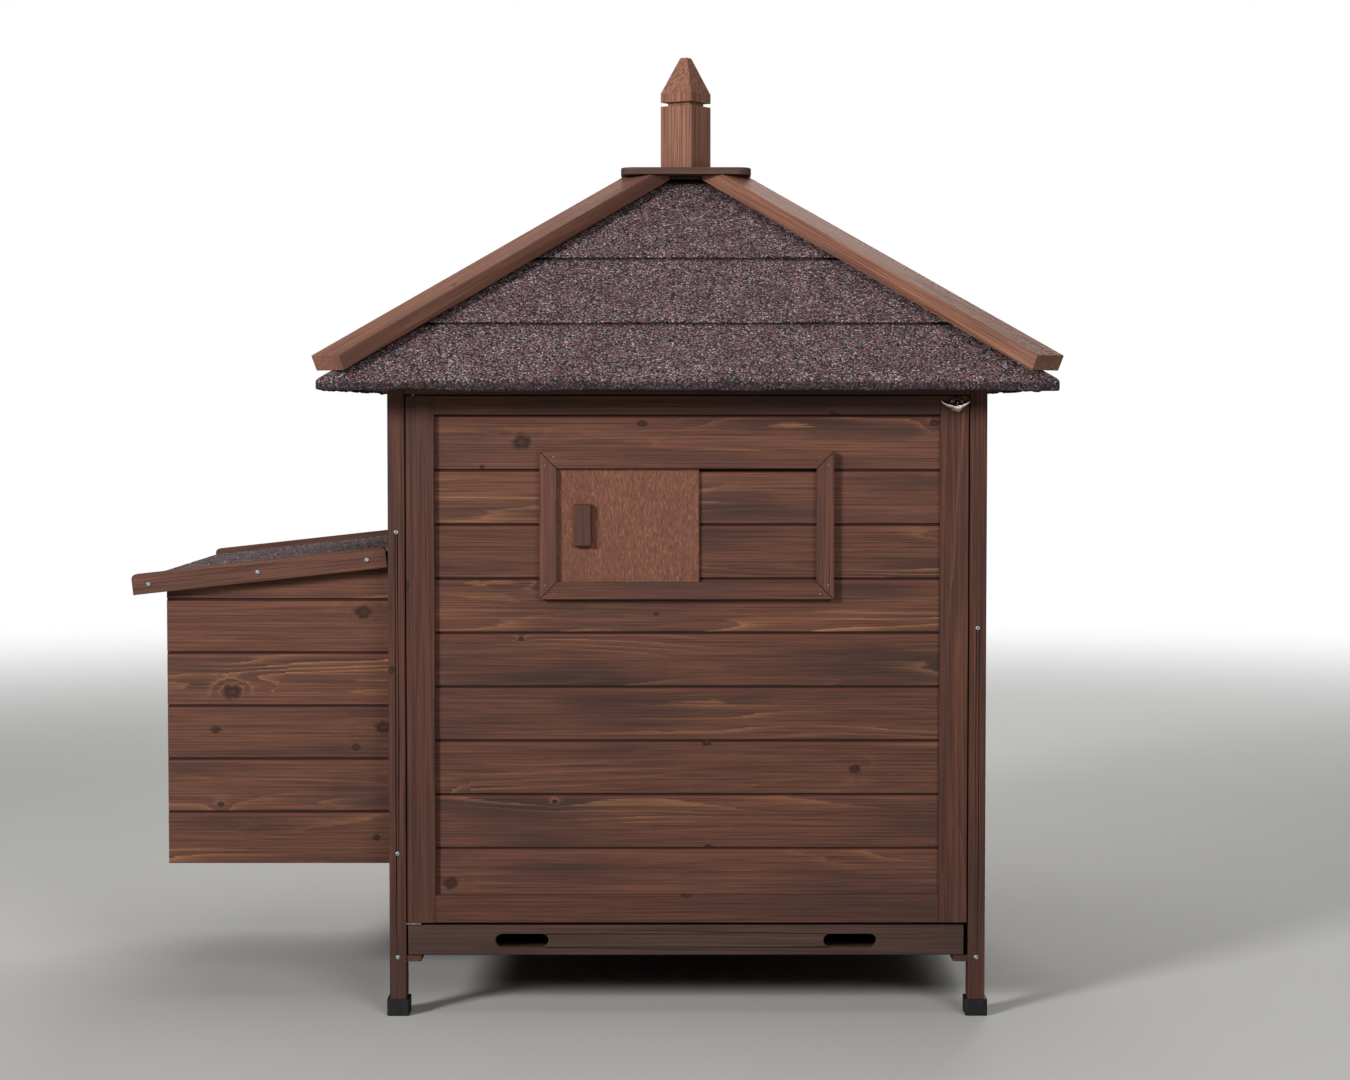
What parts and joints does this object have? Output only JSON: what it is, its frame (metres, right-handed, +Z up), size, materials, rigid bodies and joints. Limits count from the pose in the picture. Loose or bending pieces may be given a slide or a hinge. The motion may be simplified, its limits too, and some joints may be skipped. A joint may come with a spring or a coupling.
{
  "type": "chicken coop",
  "caption": "Square timber hen house on legs with a felted pyramid roof and finial, framed front door with sliding window shutter, pull-out tray, lidded side nest box and rear ramp.",
  "frame": {"origin": "on the ground under the middle of the bounding box, with the ramp down", "axes": "+Z up, front door towards -Y, nest box towards -X, ramp towards +Y"},
  "size_m": [1.5255, 1.7122, 1.6289],
  "materials": {
    "frame_timber": "dark reddish-brown stained softwood",
    "cladding_timber": "dark reddish-brown stained softwood boards",
    "roof_timber": "weathered brown softwood",
    "plywood": "stained plywood",
    "roofing_felt": "mineral-granule roofing felt",
    "black_plastic": "moulded black plastic",
    "zinc_steel": "bright zinc plate",
    "bright_latch": "polished plated metal"
  },
  "bodies": {
    "house": {"leg_front_left": "frame_timber", "leg_front_right": "frame_timber", "leg_rear_left": "frame_timber", "leg_rear_right": "frame_timber", "foot_caps": "black_plastic", "cross_rails": "frame_timber", "side_rails": "frame_timber", "tray_runners": "frame_timber", "left_wall_boards": "cladding_timber", "right_wall_boards": "cladding_timber", "rear_wall_boards": "cladding_timber", "nest_posts": "frame_timber", "nest_end_walls": "cladding_timber", "nest_outer_wall": "cladding_timber", "nest_floor": "plywood", "nest_partitions": "plywood", "perches": "frame_timber", "perch_supports": "frame_timber", "roof_deck": "plywood", "roof_felt": "roofing_felt", "roof_rafters": "frame_timber", "hip_battens": "roof_timber", "roof_cap_plate": "roof_timber", "finial": "roof_timber", "finial_bolt": "zinc_steel", "leg_screws": "zinc_steel", "door_pivot_bracket": "zinc_steel", "door_stop": "frame_timber", "pop_door_guides": "frame_timber", "ramp_sill": "frame_timber", "hinge_wall_leaves": "zinc_steel", "hinge_pins": "zinc_steel"},
    "front_door": {"door_left_stile": "frame_timber", "door_right_stile": "frame_timber", "door_rails": "frame_timber", "door_boards": "cladding_timber", "window_frame": "frame_timber", "vent_mesh": "zinc_steel", "door_pivot_pins": "zinc_steel", "latch_plate": "bright_latch"},
    "latch": {"latch_handle": "bright_latch", "latch_cam": "bright_latch"},
    "shutter": {"shutter_panel": "plywood", "shutter_handle": "frame_timber"},
    "tray": {"tray_front": "frame_timber", "tray_sides": "frame_timber", "tray_back": "frame_timber", "tray_floor": "plywood"},
    "nest_lid": {"lid_panel": "plywood", "lid_felt": "roofing_felt", "lid_fascias": "frame_timber", "lid_hinge_leaves": "zinc_steel", "lid_screws": "zinc_steel"},
    "pop_door": {"pop_door": "plywood", "pop_door_handle": "frame_timber"},
    "ramp": {"ramp_board": "frame_timber", "ramp_cleats": "frame_timber", "ramp_hinge_leaves": "zinc_steel"}
  },
  "joints": [
    {"name": "front_door_swing", "type": "hinge", "parent": "house", "child": "front_door", "pos_m": [-0.29016, -0.73483, 0.6], "axis": [0, 0, -1], "range_deg": [0, 115]},
    {"name": "latch_turn", "type": "hinge", "parent": "front_door", "child": "latch", "pos_m": [0.59784, -0.74083, 1.007], "axis": [0, 1, 0], "range_deg": [0, 90]},
    {"name": "shutter_slide", "type": "slide", "parent": "front_door", "child": "shutter", "axis": [1, 0, 0], "range_m": [0, 0.19]},
    {"name": "tray_slide", "type": "slide", "parent": "house", "child": "tray", "axis": [0, -1, 0], "range_m": [0, 0.8]},
    {"name": "nest_lid_lift", "type": "hinge", "parent": "house", "child": "nest_lid", "pos_m": [-0.33616, -0.25083, 0.76561], "axis": [0, 1, 0], "range_deg": [0, 65]},
    {"name": "pop_door_slide", "type": "slide", "parent": "house", "child": "pop_door", "axis": [0, 0, 1], "range_m": [0, 0.3]},
    {"name": "ramp_fold", "type": "hinge", "parent": "house", "child": "ramp", "pos_m": [0.15784, 0.26817, 0.211], "axis": [1, 0, 0], "range_deg": [0, 100]}
  ]
}
